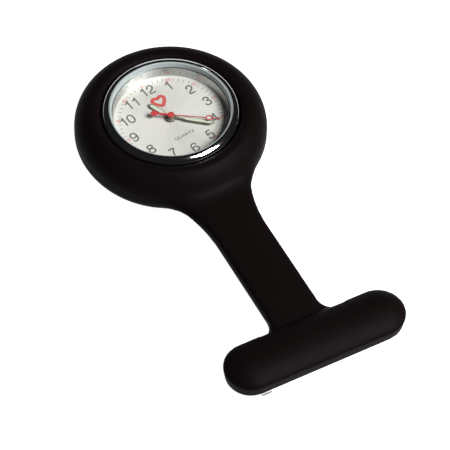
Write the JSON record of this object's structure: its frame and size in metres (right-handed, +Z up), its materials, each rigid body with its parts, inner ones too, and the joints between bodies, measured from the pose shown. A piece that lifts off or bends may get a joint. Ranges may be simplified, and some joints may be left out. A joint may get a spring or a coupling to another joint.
{
  "type": "fob watch",
  "caption": "Silicone fob watch: round analogue watch in a flared strap with a T-bar and brooch pin, worn hanging and read from above.",
  "frame": {"origin": "centre of the bounding box's bottom, on the surface that the silicone back rests on", "axes": "+Y from the T-bar to the watch, +X to the side of three o'clock, +Z up through the glass"},
  "size_m": [0.0412, 0.0893, 0.0106],
  "materials": {
    "silicone": "matte silicone",
    "bezel_steel": "polished",
    "back_steel": "brushed",
    "crown_steel": "polished",
    "stem_steel": "plain",
    "rehaut_mirror": "mirror polished",
    "watch_glass": "clear",
    "gasket_rubber": "matte",
    "glass_gasket": "white nylon",
    "dial_silver": "sunburst silver",
    "hand_grey": "brushed grey",
    "hand_lume": "luminous paint",
    "hand_red": "satin red",
    "plate_nickel": "nickelled",
    "wheel_brass": "gilt",
    "holder_plastic": "moulded white",
    "battery_steel": "satin",
    "board_green": "solder resist",
    "chip_black": "epoxy",
    "coil_copper": "enamelled wire",
    "magnet_dark": "sintered",
    "pin_steel": "nickel plated"
  },
  "bodies": {
    "holder": {"silicone_holder": "silicone", "case_band": "bezel_steel", "case_back": "back_steel", "case_back_gasket": "gasket_rubber", "crystal": "watch_glass", "crystal_gasket": "glass_gasket", "rehaut_ring": "rehaut_mirror", "crown_tube": "stem_steel", "movement_ring": "holder_plastic", "main_plate": "plate_nickel", "train_bridge": "plate_nickel", "movement_screws": "stem_steel", "battery": "battery_steel", "battery_clamp": "stem_steel", "battery_contact": "wheel_brass", "circuit_board": "board_green", "quartz_crystal": "battery_steel", "ic_chip": "chip_black", "coil_core": "stem_steel", "coil": "coil_copper", "stator": "stem_steel", "dial": "dial_silver", "pin_base_plate": "pin_steel", "hinge_rivet": "pin_steel", "catch_housing": "pin_steel"},
    "minute_train": {"centre_wheel": "wheel_brass", "cannon_pinion": "stem_steel", "minute_hand": "hand_grey", "minute_hand_lume": "hand_lume"},
    "third_train": {"third_wheel": "wheel_brass"},
    "seconds_train": {"seconds_wheel": "wheel_brass", "seconds_hand": "hand_red"},
    "intermediate_train": {"intermediate_wheel": "wheel_brass"},
    "rotor_train": {"rotor": "wheel_brass", "rotor_magnet": "magnet_dark"},
    "motion_train": {"minute_wheel": "wheel_brass"},
    "hour_train": {"hour_wheel": "wheel_brass", "hour_hand": "hand_grey", "hour_hand_lume": "hand_lume"},
    "setting_train": {"setting_wheel": "stem_steel"},
    "stem_seal": {"stem_gasket": "gasket_rubber"},
    "crown_group": {"crown": "crown_steel", "crown_stem": "stem_steel", "clutch_wheel": "stem_steel"},
    "setting_lever": {"setting_lever": "stem_steel"},
    "needle": {"pin_needle": "pin_steel"},
    "catch_barrel": {"safety_catch": "pin_steel"}
  },
  "joints": [
    {"name": "minute_spin", "type": "hinge", "parent": "holder", "child": "minute_train", "pos_m": [0, 0.02415, 0.0052], "axis": [0, 0, -1], "continuous": true},
    {"name": "third_spin", "type": "hinge", "parent": "holder", "child": "third_train", "pos_m": [0.00136, 0.02727, 0.0049], "axis": [0, 0, -1], "continuous": true},
    {"name": "seconds_spin", "type": "hinge", "parent": "holder", "child": "seconds_train", "pos_m": [0, 0.02415, 0.00455], "axis": [0, 0, -1], "continuous": true},
    {"name": "intermediate_spin", "type": "hinge", "parent": "holder", "child": "intermediate_train", "pos_m": [-0.00326, 0.02464, 0.0042], "axis": [0, 0, -1], "continuous": true},
    {"name": "rotor_spin", "type": "hinge", "parent": "holder", "child": "rotor_train", "pos_m": [-0.00583, 0.02576, 0.00505], "axis": [0, 0, -1], "continuous": true},
    {"name": "motion_spin", "type": "hinge", "parent": "holder", "child": "motion_train", "pos_m": [0.00286, 0.02447, 0.00605], "axis": [0, 0, -1], "continuous": true},
    {"name": "hour_spin", "type": "hinge", "parent": "holder", "child": "hour_train", "pos_m": [0, 0.02415, 0.0063], "axis": [0, 0, -1], "continuous": true},
    {"name": "setting_spin", "type": "hinge", "parent": "holder", "child": "setting_train", "pos_m": [0.0062, 0.02485, 0.00605], "axis": [0, 0, -1], "continuous": true},
    {"name": "crown_pull", "type": "slide", "parent": "holder", "child": "stem_seal", "axis": [0.9938, 0.1115, 0], "range_m": [0, 0.001]},
    {"name": "crown_turn", "type": "hinge", "parent": "stem_seal", "child": "crown_group", "pos_m": [0.0162, 0.02597, 0.0047], "axis": [0.9938, 0.1115, 0], "continuous": true},
    {"name": "lever_rock", "type": "hinge", "parent": "holder", "child": "setting_lever", "pos_m": [0.0087, 0.02734, 0.0052], "axis": [0, 0, 1], "range_deg": [0, 25.62]},
    {"name": "needle_swing", "type": "hinge", "parent": "holder", "child": "needle", "pos_m": [0.0122, -0.03905, 0.00175], "axis": [0, -1, 0], "range_deg": [0, 60]},
    {"name": "catch_turn", "type": "hinge", "parent": "holder", "child": "catch_barrel", "pos_m": [-0.013, -0.03905, 0.00175], "axis": [1, 0, 0], "range_deg": [0, 75]}
  ],
  "couplings": [
    {"joint": "third_spin", "follows": "minute_spin", "ratio": -8},
    {"joint": "seconds_spin", "follows": "minute_spin", "ratio": 60},
    {"joint": "intermediate_spin", "follows": "minute_spin", "ratio": -300},
    {"joint": "rotor_spin", "follows": "minute_spin", "ratio": 1800},
    {"joint": "motion_spin", "follows": "minute_spin", "ratio": -0.33333},
    {"joint": "hour_spin", "follows": "minute_spin", "ratio": 0.083333},
    {"joint": "setting_spin", "follows": "minute_spin", "ratio": 0.6},
    {"joint": "lever_rock", "follows": "crown_pull", "rad_per_m": 447}
  ]
}
